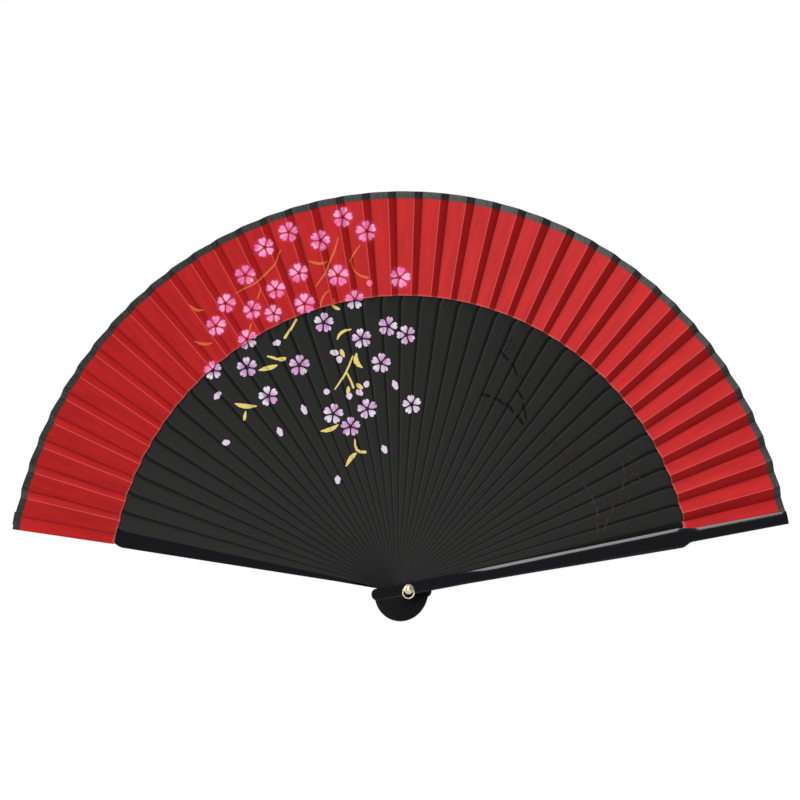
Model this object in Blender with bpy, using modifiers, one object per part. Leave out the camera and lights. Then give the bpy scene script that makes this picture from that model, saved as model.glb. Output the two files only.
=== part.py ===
"""A folding hand fan, wide open.

Forty thin ribs lie between two guards. All of them turn on one rivet through
their butts, and a pleated silk leaf glued to their tips joins them.

Metres, +Z up. The fan stands upright and faces -Y. The origin is on the
rivet's axis, at the middle of the stack of sticks. Angles are measured from
+X towards +Z. Every stick is modelled along its own +X, with its own +Z
across it, and is then turned about the rivet's axis.
"""
import math

import bmesh
import bpy
from mathutils import Vector

# the open fan
RIBS = 40
OPEN_ANGLE = math.radians(160.0)
FIRST_ANGLE = math.radians(170.0)
STEP = OPEN_ANGLE / (RIBS + 1)
LEVEL = 0.0006                  # each stick lies this far in front of the last
CLEARANCE = 0.0002              # between a guard and its first rib

# a rib: a tapered blade, then a narrow strip behind the leaf
RIB_THICKNESS = 0.0004
BUTT_HALF = 0.0029
RIB_BUTT = 0.0170               # from the rivet to the round end
NECK_END = 0.030                # the blade widens from here
RIB_HALF = 0.0062
SHOULDER_START = 0.1405
SHOULDER_LENGTH = 0.0070
BLADE_ROWS = 6
BLADE_TILT = 0.10               # at the shoulder, a blade's leaf-side edge leans forward
STRIP_HALF = 0.00135
TWIST_LENGTH = 0.0075           # the strip turns to lie along its pleat here
STRIP_END = 0.1925

# a guard: thicker, and a little longer at both ends
GUARD_THICKNESS = 0.0020
GUARD_BUTT = 0.0186
GUARD_HALF = 0.0052
GUARD_SHOULDER = 0.1395
GUARD_STEP_LENGTH = 0.0070
GUARD_TIP_INNER = 0.0037        # on the leaf's side of the guard's middle line
GUARD_TIP_OUTER = 0.0025
GUARD_END = 0.1968
GUARD_ROUNDING = 0.00035
BOW_START = 0.045               # from here the guards bow away from the tilted ribs
BOW_END = 0.146
REAR_BOW = 0.0006

# the leaf and the ribbon round its rim
LEAF_INNER = 0.1450
LEAF_OUTER = 0.1933
BINDING_INNER = 0.1936
BINDING_OUTER = 0.1968
LEAF_THICKNESS = 0.00015
BINDING_THICKNESS = 0.0003
LEAF_GAP = 0.0001               # between a rib and the leaf in front of it
PLEAT_DEPTH = 0.0155            # of the radius
GLUED_SHARE_FIRST = 0.30        # of each pleat, at the rear guard's end
GLUED_SHARE_LAST = 0.44         # and at the front guard's end
LEAF_LAP = math.radians(1.45)   # past the rear guard's middle line

# the rivet, and the ring for a tassel
BORE = 0.00095
PIN = 0.00075
WASHER = 0.00245
WASHER_THICKNESS = 0.0004
HEAD = 0.0015
HEAD_HEIGHT = 0.0009
RING_RADIUS = 0.00285
RING_WIRE = 0.00033
RING_PLAY = 0.00005
METAL_GAP = 0.00015

REAR_FACE = (RIBS - 1) / 2 * LEVEL + RIB_THICKNESS / 2 + CLEARANCE
GUARD_BACK = REAR_FACE + GUARD_THICKNESS


def clear_scene():
    for obj in list(bpy.data.objects):
        bpy.data.objects.remove(obj, do_unlink=True)


def collection(name):
    made = bpy.data.collections.new(name)
    bpy.context.scene.collection.children.link(made)
    return made


def material(name, colour, roughness, metallic=0.0):
    made = bpy.data.materials.new(name)
    made.use_nodes = True
    shader = made.node_tree.nodes["Principled BSDF"]
    shader.inputs["Base Color"].default_value = (*colour, 1.0)
    shader.inputs["Roughness"].default_value = roughness
    shader.inputs["Metallic"].default_value = metallic
    return made


def ease(value):
    value = min(1.0, max(0.0, value))
    return value * value * (3 - 2 * value)


def stick_angle(number):
    """The direction of a stick: 0 is the rear guard, 41 the front one."""
    return FIRST_ANGLE - number * STEP


def stick_level(number):
    """How far back along Y the middle of a stick's thickness lies."""
    return ((RIBS + 1) / 2 - number) * LEVEL


def glued_half(number):
    """Half the angle of the pleat that is glued to a stick."""
    share = GLUED_SHARE_FIRST + (GLUED_SHARE_LAST - GLUED_SHARE_FIRST) * number / (RIBS + 1)
    return share * STEP / 2


def pleat_slope(number):
    """How steeply the glued pleat leans back across the stick."""
    return PLEAT_DEPTH / (2 * glued_half(number))


def add_object(name, mesh, group, finish):
    obj = bpy.data.objects.new(name, mesh)
    obj.data.materials.append(finish)
    group.objects.link(obj)
    return obj


def plate(name, rows, thickness, group, finish):
    """A bar or sheet through rows of two points, given its thickness by Solidify."""
    bm = bmesh.new()
    bmesh.ops.create_grid(bm, x_segments=len(rows) - 1, y_segments=1, size=1.0)
    verts = sorted(bm.verts, key=lambda v: (round(v.co.x, 5), v.co.y))
    for vert, point in zip(verts, [point for row in rows for point in row]):
        vert.co = point
    mesh = bpy.data.meshes.new(name)
    bm.to_mesh(mesh)
    bm.free()
    obj = add_object(name, mesh, group, finish)
    solid = obj.modifiers.new("thickness", "SOLIDIFY")
    solid.thickness = thickness
    solid.offset = 0.0
    return obj


def stick_rows(outline, depth):
    """Rows across a stick from (distance, low edge, high edge); depth gives each point's Y."""
    return [
        [(along, depth(along, across), across) for across in (low, high)]
        for along, low, high in outline
    ]


def round_butt(reach, half, steps=4):
    """Outline rows round a stick's butt, from just inside its end to its full width."""
    angles = [math.radians(30 + 60 * i / steps) for i in range(steps + 1)]
    middle = half - reach
    return [
        (middle - half * math.cos(a), -half * math.sin(a), half * math.sin(a))
        for a in angles
    ]


def rib_outline():
    rows = round_butt(RIB_BUTT, BUTT_HALF)
    for i in range(BLADE_ROWS + 1):
        along = NECK_END + (SHOULDER_START - NECK_END) * i / BLADE_ROWS
        half = BUTT_HALF + (RIB_HALF - BUTT_HALF) * i / BLADE_ROWS
        rows.append((along, -half, half))
    for angle in (math.radians(a) for a in (25, 50, 72, 90)):
        along = SHOULDER_START + SHOULDER_LENGTH * math.sin(angle)
        half = STRIP_HALF + (RIB_HALF - STRIP_HALF) * math.cos(angle)
        rows.append((along, -half, half))
    twist_start = rows[-1][0]
    for share in (1 / 3, 2 / 3, 1):
        rows.append((twist_start + share * TWIST_LENGTH, -STRIP_HALF, STRIP_HALF))
    rows.append((STRIP_END, -STRIP_HALF, STRIP_HALF))
    return rows


def guard_outline():
    """The front guard: its leaf side is +Z."""
    rows = round_butt(GUARD_BUTT, BUTT_HALF + 0.0002)
    neck = BUTT_HALF
    for i in range(1, 8):
        along = NECK_END + (GUARD_SHOULDER - NECK_END) * i / 7
        half = neck + (GUARD_HALF - neck) * i / 7
        if i == 1:
            rows.append((NECK_END, -neck, neck))
        rows.append((along, -half, half))
    for share in (0.25, 0.5, 0.75, 1.0):
        blend = ease(share)
        outer = GUARD_HALF + (GUARD_TIP_OUTER - GUARD_HALF) * blend
        inner = GUARD_HALF + (GUARD_TIP_INNER - GUARD_HALF) * blend
        rows.append((GUARD_SHOULDER + share * GUARD_STEP_LENGTH, -outer, inner))
    rows.append((GUARD_END, -GUARD_TIP_OUTER, GUARD_TIP_INNER))
    return rows


def set_on_rivet(obj, number, level, axis):
    """Turns a stick, or a gap's own piece, to its place about the rivet."""
    obj.location = (0.0, level, 0.0)
    obj.rotation_euler = (0.0, -stick_angle(number), 0.0)
    obj.parent = axis


def bore_out(obj, cutter):
    cut = obj.modifiers.new("rivet_bore", "BOOLEAN")
    cut.operation = "DIFFERENCE"
    cut.solver = "EXACT"
    cut.object = cutter


def make_cutter(group):
    bpy.ops.mesh.primitive_cylinder_add(
        vertices=12, radius=BORE, depth=4 * GUARD_BACK, rotation=(math.pi / 2, 0.0, 0.0)
    )
    cutter = bpy.context.object
    cutter.name = "rivet_bore_cutter"
    for old in list(cutter.users_collection):
        old.objects.unlink(cutter)
    group.objects.link(cutter)
    cutter.hide_render = True
    cutter.display_type = "WIRE"
    return cutter


def make_rib(number, group, finish, axis, cutter):
    slope = pleat_slope(number)
    twist_start = SHOULDER_START + SHOULDER_LENGTH

    def depth(along, across):
        blade = BLADE_TILT * min(1.0, max(0.0, (along - NECK_END) / (SHOULDER_START - NECK_END)))
        turned = ease((along - twist_start) / TWIST_LENGTH)
        return -(1 - turned) * blade * across - turned * slope * (across + STRIP_HALF)

    rows = stick_rows(rib_outline(), depth)
    rib = plate(f"rib_{number:02d}", rows, RIB_THICKNESS, group, finish)
    set_on_rivet(rib, number, stick_level(number), axis)
    bore_out(rib, cutter)
    return rib


def make_guard(name, number, level, outline, bow, group, finish, axis, cutter):
    def depth(along, across):
        return -bow * ease((along - BOW_START) / (BOW_END - BOW_START))

    guard = plate(name, stick_rows(outline, depth), GUARD_THICKNESS, group, finish)
    rounding = guard.modifiers.new("rounded_edges", "BEVEL")
    rounding.width = GUARD_ROUNDING
    rounding.segments = 2
    rounding.limit_method = "ANGLE"
    rounding.angle_limit = math.radians(50)
    set_on_rivet(guard, number, level, axis)
    bore_out(guard, cutter)
    return guard


def leaf_depth(number):
    """Y of the leaf's middle in the valley beside a stick."""
    return stick_level(number) - RIB_THICKNESS / 2 - LEAF_GAP - LEAF_THICKNESS / 2


def leaf_folds():
    """(angle, Y in the valley, share of the pleat's full depth) of each fold line."""
    rear = leaf_depth(0) + REAR_BOW
    folds = [(stick_angle(0) + LEAF_LAP, rear, 0.0), (stick_angle(0) - glued_half(0), rear, 0.0)]
    for number in range(1, RIBS + 1):
        half = glued_half(number)
        folds.append((stick_angle(number) + half, leaf_depth(number), 1.0))
        folds.append((stick_angle(number) - half, leaf_depth(number), 0.0))
    last = RIBS + 1
    folds.append((stick_angle(last) + glued_half(last), leaf_depth(last), 1.0))
    folds.append((stick_angle(last), leaf_depth(last), 1.0))
    return folds


def leaf_rows(inner, outer):
    def at(radius, fold):
        angle, valley, share = fold
        depth = valley - share * PLEAT_DEPTH * radius
        return (radius * math.cos(angle), depth, radius * math.sin(angle))

    return [[at(inner, fold), at(outer, fold)] for fold in leaf_folds()]


def turned(name, profile, group, finish, closed=False):
    """A turned piece. The profile lists (radius, height) down its outer side, and its +Z faces the front."""
    mesh = bpy.data.meshes.new(name)
    bm = bmesh.new()
    verts = [bm.verts.new((radius, 0.0, height)) for radius, height in profile]
    for a, b in zip(verts, verts[1:] + ([verts[0]] if closed else [])):
        bm.edges.new((a, b))
    bm.to_mesh(mesh)
    bm.free()
    obj = add_object(name, mesh, group, finish)
    screw = obj.modifiers.new("turned", "SCREW")
    screw.axis = "Z"
    screw.angle = math.tau
    screw.steps = 20
    screw.render_steps = 20
    screw.use_merge_vertices = True
    screw.merge_threshold = 0.00001
    obj.rotation_euler = (math.pi / 2, 0.0, 0.0)
    return obj


def dome(radius, height, base, steps=4):
    """The points of a low round head, from its crown down to its rim."""
    points = []
    for i in range(steps + 1):
        angle = math.pi / 2 * i / steps
        points.append((radius * math.sin(angle), base + height * math.cos(angle)))
    return points


def washer_profile(top):
    bottom = top - WASHER_THICKNESS
    return [(BORE, top), (WASHER, top), (WASHER, bottom), (BORE, bottom)]


def make_rivet(group, brass, axis):
    ring_front = GUARD_BACK + METAL_GAP + 2 * RING_WIRE
    front_washer_top = ring_front + METAL_GAP + WASHER_THICKNESS
    head_base = front_washer_top + METAL_GAP
    rear_washer_top = -(GUARD_BACK + METAL_GAP)
    cap_top = rear_washer_top - WASHER_THICKNESS - METAL_GAP
    socket = cap_top - HEAD_HEIGHT / 2
    pin_end = socket + METAL_GAP
    pin_profile = dome(HEAD, HEAD_HEIGHT, head_base) + [(PIN, head_base), (PIN, pin_end), (0.0, pin_end)]
    cap_rim = [(r, 2 * cap_top - z) for r, z in reversed(dome(HEAD, HEAD_HEIGHT, cap_top))]
    cap_profile = [(0.0, socket), (BORE, socket), (BORE, cap_top)] + cap_rim
    pieces = [
        turned("rivet_pin", pin_profile, group, brass),
        turned("rivet_cap", cap_profile, group, brass),
        turned("front_washer", washer_profile(front_washer_top), group, brass, closed=True),
        turned("rear_washer", washer_profile(rear_washer_top), group, brass, closed=True),
    ]
    for piece in pieces:
        piece.data.shade_smooth()
        piece.data.set_sharp_from_angle(angle=math.radians(35))
        piece.parent = axis
    return ring_front - RING_WIRE


def make_ring(level, group, finish, axis):
    bpy.ops.mesh.primitive_torus_add(
        major_radius=RING_RADIUS, minor_radius=RING_WIRE, major_segments=24, minor_segments=8
    )
    ring = bpy.context.object
    ring.name = "tassel_ring"
    ring.data.name = "tassel_ring"
    for old in list(ring.users_collection):
        old.objects.unlink(ring)
    group.objects.link(ring)
    ring.data.materials.append(finish)
    drop = RING_RADIUS - RING_WIRE - PIN - RING_PLAY
    for vert in ring.data.vertices:
        vert.co.y -= drop
    ring.data.shade_smooth()
    ring.location = (0.0, -level, 0.0)
    ring.rotation_euler = (math.pi / 2, 0.0, 0.0)
    ring.parent = axis


def main():
    clear_scene()
    fan = collection("hand_fan")
    cutters = collection("cutters")
    axis = bpy.data.objects.new("rivet_axis", None)
    fan.objects.link(axis)
    cutter = make_cutter(cutters)

    rib_paint = material("matt_black_bamboo", (0.030, 0.030, 0.028), 0.60)
    lacquer = material("gloss_black_lacquer", (0.006, 0.006, 0.008), 0.12)
    silk = material("red_silk", (0.50, 0.020, 0.024), 0.55)
    ribbon = material("black_satin_ribbon", (0.020, 0.022, 0.020), 0.40)
    brass = material("pale_brass", (0.78, 0.66, 0.42), 0.25, 1.0)
    steel = material("plated_wire", (0.76, 0.72, 0.60), 0.25, 1.0)

    for number in range(1, RIBS + 1):
        make_rib(number, fan, rib_paint, axis, cutter)

    half = GUARD_THICKNESS / 2
    front = guard_outline()
    rear = [(along, -high, -low) for along, low, high in front]
    tip_back = leaf_depth(RIBS + 1) - PLEAT_DEPTH * BINDING_OUTER - BINDING_THICKNESS / 2 - LEAF_GAP
    bow = -REAR_FACE - tip_back
    make_guard("rear_guard", 0, REAR_FACE + half, rear, -REAR_BOW, fan, lacquer, axis, cutter)
    make_guard("front_guard", RIBS + 1, -REAR_FACE - half, front, bow, fan, lacquer, axis, cutter)

    leaf = plate("silk_leaf", leaf_rows(LEAF_INNER, LEAF_OUTER), LEAF_THICKNESS, fan, silk)
    binding = plate(
        "edge_binding", leaf_rows(BINDING_INNER, BINDING_OUTER), BINDING_THICKNESS, fan, ribbon
    )
    leaf.parent = axis
    binding.parent = axis

    ring_level = make_rivet(fan, brass, axis)
    make_ring(ring_level, fan, steel, axis)


main()
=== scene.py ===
# %% [markdown]
# # A folding hand fan, wide open
#
# Forty thin bamboo ribs and two lacquered guards turn on one rivet. A pleated silk leaf is glued
# to their tips, with a satin ribbon folded over its rim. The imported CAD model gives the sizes, the
# bodies and the hinges. This lesson gives each piece its fine surface and its finish.

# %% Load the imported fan
import math

import bmesh
import bpy
import numpy as np
from mathutils import Matrix, Vector


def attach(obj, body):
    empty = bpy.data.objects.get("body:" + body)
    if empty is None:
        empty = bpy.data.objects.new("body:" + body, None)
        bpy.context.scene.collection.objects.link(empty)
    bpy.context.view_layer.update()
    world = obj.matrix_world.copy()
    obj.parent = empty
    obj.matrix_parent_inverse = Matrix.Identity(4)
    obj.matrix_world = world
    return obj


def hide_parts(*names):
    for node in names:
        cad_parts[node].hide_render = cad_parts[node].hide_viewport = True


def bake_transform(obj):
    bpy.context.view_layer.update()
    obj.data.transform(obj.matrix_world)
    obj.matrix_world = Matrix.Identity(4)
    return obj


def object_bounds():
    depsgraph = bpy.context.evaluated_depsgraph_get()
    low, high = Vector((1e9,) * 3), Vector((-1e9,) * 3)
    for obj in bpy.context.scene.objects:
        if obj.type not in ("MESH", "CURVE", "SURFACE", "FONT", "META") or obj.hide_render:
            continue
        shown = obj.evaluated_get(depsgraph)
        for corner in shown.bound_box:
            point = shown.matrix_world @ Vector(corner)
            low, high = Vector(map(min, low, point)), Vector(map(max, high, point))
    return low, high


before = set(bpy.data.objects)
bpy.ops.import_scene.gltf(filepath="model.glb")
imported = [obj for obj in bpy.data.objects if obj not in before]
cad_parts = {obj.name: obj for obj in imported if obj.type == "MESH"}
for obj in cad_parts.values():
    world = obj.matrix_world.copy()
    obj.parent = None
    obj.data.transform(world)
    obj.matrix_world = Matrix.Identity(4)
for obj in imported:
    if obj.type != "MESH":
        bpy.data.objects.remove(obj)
cad_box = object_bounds()

# %% [markdown]
# ## The fan's own measures
#
# Every stick is a straight bar that turns about the rivet, so one angle and one depth place it.
# The same few numbers as the CAD's are repeated here, because every new piece has to lie where
# its CAD solid does. Millimetres read better than metres for something this small.

# %% The measures of the open fan
MM = 0.001
RIBS = 40
LAST = RIBS + 1
STEP = math.radians(160.0) / LAST
LEVEL = 0.6                     # depth between one stick and the next, mm
RIB_THICKNESS = 0.4
BUTT_HALF = 2.9
RIB_BUTT = 17.0                 # from the rivet to the round end
GUARD_BUTT = 18.6
NECK_END = 30.0
RIB_HALF = 6.2
SHOULDER_START = 140.5
SHOULDER_LENGTH = 7.0
STRIP_HALF = 1.35
TWIST_LENGTH = 7.5
STRIP_END = 192.5
BLADE_TILT = 0.10
GUARD_THICKNESS = 2.0
GUARD_HALF = 5.2
GUARD_SHOULDER = 139.5
GUARD_STEP_LENGTH = 7.0
GUARD_END = 196.8
REAR_FACE = (RIBS - 1) / 2 * LEVEL + RIB_THICKNESS / 2 + 0.2
LEAF_INNER = 145.0
LEAF_OUTER = 196.0
RIM_INNER = 193.4
RIM_OUTER = 196.8
PLEAT_DEPTH = 0.0155            # of the radius
REAR_BOW = 0.6
LEAF_GAP = 0.1                  # glue between a stick and the leaf
LEAF_HALF = 0.075
RIBBON_REACH = 0.15             # how far the ribbon's fold stands in front of the leaf


def stick_angle(number):
    return math.radians(170.0) - number * STEP


def stick_level(number):
    return (LAST / 2 - number) * LEVEL


def leaf_level(number):
    """Depth of the leaf's valleys on a stick; the rear guard bows back, and the leaf with it."""
    bow = REAR_BOW if number == 0 else 0.0
    return stick_level(number) - RIB_THICKNESS / 2 - LEAF_GAP - LEAF_HALF + bow


def glued_half(number):
    """Half the glued panel's angle; the glued panels grow broader towards the front guard."""
    return (0.30 + 0.14 * number / LAST) * STEP / 2


def ease(value):
    value = min(1.0, max(0.0, value))
    return value * value * (3 - 2 * value)


def stick_matrix(number, level):
    """From a stick's own frame, along +X and across +Z in millimetres, to its place in metres."""
    turn = Matrix.Rotation(-stick_angle(number), 4, "Y")
    return Matrix.Translation((0.0, level * MM, 0.0)) @ turn @ Matrix.Scale(MM, 4)


print("one stick every", round(math.degrees(STEP), 2), "degrees")

# %% [markdown]
# ## Colours and nodes
#
# Paints and screens name a colour by its sRGB value, but a renderer adds up linear light, so one
# function turns the one into the other. A second adds a node with its settings and its links in
# one line. A material is then a short list of such lines, which reads from the pattern's place
# down to the shader.

# %% Colours are written as sRGB hex values and turned to linear light here
def colour(hex_value):
    channels = [int(hex_value[i:i + 2], 16) / 255 for i in (0, 2, 4)]
    linear = [c / 12.92 if c <= 0.04045 else ((c + 0.055) / 1.055) ** 2.4 for c in channels]
    return (*linear, 1.0)


def add(tree, kind, inputs=(), **settings):
    """Adds a node. Settings go to the node; inputs are linked or set, by number or by name."""
    node = tree.nodes.new("ShaderNode" + kind)
    for name, value in settings.items():
        setattr(node, name, value)
    for key, value in inputs.items() if isinstance(inputs, dict) else enumerate(inputs):
        if isinstance(value, bpy.types.Node):
            value = value.outputs[0]
        if isinstance(value, bpy.types.NodeSocket):
            tree.links.new(value, node.inputs[key])
        elif value is not None:
            node.inputs[key].default_value = value
    return node


def new_material(name):
    made = bpy.data.materials.new(name)
    made.use_nodes = True
    made.node_tree.nodes.clear()
    return made


print("mid grey in linear light:", round(colour("808080")[0], 3))

# %% [markdown]
# ## Floor, light and camera
#
# The fan is held above a sheet of pale matt board. A plane would do, but its far edge draws a hard
# line when seen from low down, so the board is round and thins out towards its rim.

# %% The floor: pale matt board, with the slightest mottle of its paper
DROP = 0.35                     # the fan is held this far above the board, m
BOARD_RADIUS = 3.2
WHOLE_TO, GONE_AT = 0.9, 3.1    # the board thins out between these distances, m


def board_material():
    made = new_material("pale_paper_board")
    tree = made.node_tree
    place = add(tree, "TexCoord").outputs["Object"]
    mottle = add(tree, "TexNoise", {"Vector": place, "Scale": 3.0, "Detail": 3.0})
    tone = add(tree, "Mix", {0: mottle, 6: colour("F3F3F2"), 7: colour("F8F8F8")}, data_type="RGBA")
    board = add(
        tree, "BsdfPrincipled",
        {"Base Color": tone.outputs[2], "Roughness": 0.9, "Specular IOR Level": 0.1},
    )
    reach = add(tree, "VectorMath", (place,), operation="LENGTH").outputs["Value"]
    thin = add(tree, "MapRange", {0: reach, 1: WHOLE_TO, 2: GONE_AT})
    clear = add(tree, "BsdfTransparent")
    faded = add(tree, "MixShader", (thin, board, clear))
    add(tree, "OutputMaterial", (faded,))
    return made


floor_mesh = bpy.data.meshes.new("floor")
bm = bmesh.new()
bmesh.ops.create_circle(bm, segments=64, radius=BOARD_RADIUS, cap_ends=True)
bmesh.ops.translate(bm, verts=bm.verts, vec=(0.0, 0.0, cad_box[0].z - DROP))
bm.to_mesh(floor_mesh)
bm.free()
floor = bpy.data.objects.new("floor", floor_mesh)
bpy.context.collection.objects.link(floor)
floor.data.materials.append(board_material())
print("floor at", round(cad_box[0].z - DROP, 3))

# %% [markdown]
# Many small lamps could light the fan, but pleats read best under one broad soft sun. It shines
# from the front and a little from the left, so each free panel is lit and each glued one is duller,
# and the silk's glued panels are painted darker as well. A softbox above draws the thin bright line
# along the lacquered guard. A weak light behind keeps the fan's back readable.

# %% The light
world = bpy.data.worlds.new("studio")
bpy.context.scene.world = world
world.use_nodes = True
world.node_tree.nodes.clear()
sky = world.node_tree
seen = add(sky, "Background", {"Color": (1.0, 1.0, 1.0, 1.0), "Strength": 1.0})
fill = add(sky, "Background", {"Color": colour("F4F6FA"), "Strength": 0.2})
ray = add(sky, "LightPath").outputs["Is Camera Ray"]
both = add(sky, "MixShader", (ray, fill, seen))
add(sky, "OutputWorld", (both,))


def aim(obj, place, target):
    obj.location = place
    obj.rotation_mode = "QUATERNION"
    obj.rotation_quaternion = (Vector(target) - Vector(place)).to_track_quat("-Z", "Y")


def lamp(name, kind, power, place, target=(0.0, 0.0, 0.1), **settings):
    data = bpy.data.lights.new(name, kind)
    data.energy = power
    for key, value in settings.items():
        setattr(data, key, value)
    obj = bpy.data.objects.new(name, data)
    bpy.context.collection.objects.link(obj)
    aim(obj, place, target)
    return obj


lamp("soft_sun", "SUN", 2.85, (-1.15, -2.2, 0.6), angle=math.radians(20))
lamp("softbox_above", "AREA", 20.0, (-0.15, -0.55, 1.35), shape="RECTANGLE", size=1.1, size_y=0.9)
lamp("back_light", "SUN", 0.9, (1.4, 2.2, 1.1), angle=math.radians(30))

# %% [markdown]
# The camera stands five metres off with a very long lens, so that the half circle is nearly free
# of perspective. It looks from just above the rivet and a little from the left, where both guards
# and the stack of round butts show at once.

# %% The camera
DISTANCE = 5.0
AIM_RIGHT, AIM_UP = -0.00149, 0.09303   # what the camera looks at, m from the rivet

camera_data = bpy.data.cameras.new("camera")
camera_data.lens = 453.0
camera_data.sensor_width = 36.0
camera_data.clip_end = 400.0
camera = bpy.data.objects.new("camera", camera_data)
bpy.context.collection.objects.link(camera)
bpy.context.scene.camera = camera

AZIMUTH, ELEVATION, ROLL = (math.radians(a) for a in (-13.46, 2.38, 0.42))
back = Vector((
    math.sin(AZIMUTH) * math.cos(ELEVATION),
    -math.cos(AZIMUTH) * math.cos(ELEVATION),
    math.sin(ELEVATION),
))
right = Vector((math.cos(AZIMUTH), math.sin(AZIMUTH), 0.0))
up = back.cross(right)
centre = right * AIM_RIGHT + up * AIM_UP
camera.rotation_mode = "QUATERNION"
camera.rotation_quaternion = (
    Matrix((right, up, back)).transposed().to_quaternion()
    @ Matrix.Rotation(ROLL, 3, "Z").to_quaternion()
)
camera.location = centre + back * DISTANCE
bpy.context.scene.view_settings.view_transform = "Standard"
print("camera at", [round(v, 3) for v in camera.location])

# %% [markdown]
# ## The painting
#
# One branch of cherry blossom is painted across the silk and the ribs together, so it belongs to
# the open fan and not to any one piece. The branch could be drawn once and projected, but a few
# lists of places, in degrees round the rivet and millimetres from it, are easier to change. Each
# small face of a piece stores the blossom and the two brush strokes that lie nearest to it, and the
# material draws only those. That keeps the edge of a petal sharp on quite a coarse mesh.

# %% Blossoms: (angle, radius, turn of the flower, radius of the flower)
BLOSSOMS = [
    (99.7, 186.5, 8, 5.1), (96.3, 178, 25, 5.3), (108.4, 186, 14, 5.0), (103.9, 177.5, 4, 5.1),
    (112.7, 183, 40, 4.9), (117.3, 174.5, 20, 5.0), (108.8, 165, 33, 4.9), (102.2, 158.5, 18, 5.4),
    (113.6, 161.5, 27, 4.7), (122.4, 167, 12, 4.8), (119, 157.5, 30, 4.7), (115.8, 151, 20, 4.5),
    (109.6, 149.5, 24, 5.2), (126, 160.5, 21, 5.0), (90.9, 154, 7, 5.2), (99.9, 145, 22, 4.9),
    (122.5, 146, 35, 5.0), (131.5, 144, 28, 4.7), (107, 137.5, 14, 5.0), (99.7, 125.5, 30, 5.0),
    (93.5, 130, 5, 4.9), (89.4, 125.5, 38, 4.8), (95.8, 112, 12, 5.0), (125.6, 134.5, 26, 5.1),
    (115.3, 122, 17, 5.3), (125.3, 116.5, 34, 5.0), (112, 93, 10, 5.1), (101.4, 90.5, 31, 5.0),
    (108.1, 84, 19, 4.9), (87.3, 91, 27, 4.8),
]
# Gilt strokes: the places the brush passed, and how broad it was at its start, middle and end
TWIGS = [
    ([(110.4, 178.5), (114.4, 170), (120.2, 169)], (0.25, 0.45, 0.2)),
    ([(101, 177), (103, 166), (106.5, 156)], (0.2, 0.5, 0.25)),
    ([(106.5, 169), (105, 166.5), (103.6, 166.5)], (0.2, 0.7, 0.15)),
    ([(97.6, 171.5), (98.6, 168), (99.8, 164)], (0.2, 0.4, 0.2)),
    ([(99.4, 165), (98.9, 158.5), (97, 155)], (0.2, 0.35, 0.6)),
    ([(104.4, 152.5), (105.8, 150), (106.7, 145.5)], (0.2, 0.4, 0.3)),
    ([(103.9, 147.5), (104, 146.5), (103.9, 145)], (0.25, 0.3, 0.25)),
    ([(116, 165.5), (116.5, 163.5), (117.3, 161)], (0.2, 0.35, 0.2)),
    ([(127.6, 177), (127.2, 173), (126.1, 170.5)], (0.2, 0.7, 0.2)),
    ([(130.6, 161), (129.7, 157), (128.4, 155)], (0.25, 0.75, 0.2)),
    ([(120.3, 152), (120.8, 151), (121.3, 149)], (0.2, 0.4, 0.2)),
    ([(112.1, 143.5), (114, 140), (115.6, 137.6)], (0.6, 0.55, 0.7)),
    ([(104.9, 122), (104.8, 120.5), (104.6, 118.6)], (0.5, 1.1, 0.5)),
    ([(105.4, 103.4), (105.6, 102.3), (105.9, 101)], (0.3, 0.9, 0.9)),
    ([(102.8, 103.6), (102.4, 102.3), (101.8, 101.2)], (0.4, 1.1, 0.6)),
    ([(120.7, 133.5), (119.6, 131), (119, 129)], (0.35, 0.65, 0.3)),
    ([(119, 129.8), (118.2, 128.6), (117.4, 128.4)], (0.4, 1.1, 0.3)),
    ([(123.8, 129.8), (121.8, 128.2), (119.9, 127.2)], (0.3, 1.2, 0.4)),
    ([(132.6, 124), (131.3, 119.8), (129.2, 116.2)], (0.3, 1.2, 0.3)),
    ([(132, 117.5), (133, 116), (133.7, 114.8)], (0.3, 0.8, 0.3)),
    ([(104.5, 145), (103.8, 143), (103.2, 142)], (0.4, 0.8, 0.5)),
    ([(105.1, 127.8), (103.8, 130.4), (101.7, 130.9)], (0.35, 0.75, 0.3)),
    ([(102.4, 117.7), (105.4, 110), (109.1, 104.3)], (0.4, 0.5, 0.35)),
    ([(101.5, 118.5), (101.9, 114.6), (100.7, 111.2)], (0.4, 1.3, 0.3)),
    ([(105, 111), (104.4, 106.5), (104.1, 102.5)], (0.4, 0.5, 0.6)),
    ([(117.7, 87.7), (114.7, 86.4), (111.8, 87)], (0.3, 1.1, 0.3)),
    ([(108, 77), (108.4, 72), (105.5, 69.8)], (0.4, 0.6, 0.7)),
    ([(114.9, 66.5), (111.7, 69.2), (109.1, 70.6)], (0.3, 1.1, 0.4)),
]
# Loose petals and buds: (angle, radius, the way the broad end points in degrees, half length)
PETALS = [
    (134.4, 133, 50, 1.5), (119.2, 101.5, -65, 1.8), (111.5, 104.5, 0, 0.7), (92.4, 101, -65, 1.7),
    (128.4, 99, -65, 1.6), (140.9, 114, 10, 1.2), (97.7, 69.5, -62, 1.4), (120.8, 62.5, -88, 1.3),
    (106.4, 121.5, 170, 1.4), (105.8, 118, -85, 1.0), (105.8, 99, -85, 0.8),
    (102.8, 99.5, -40, 1.1), (100.4, 102.5, 60, 0.8), (117.5, 137, 200, 1.2),
    (96.7, 152.3, -75, 0.6),
]
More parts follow.
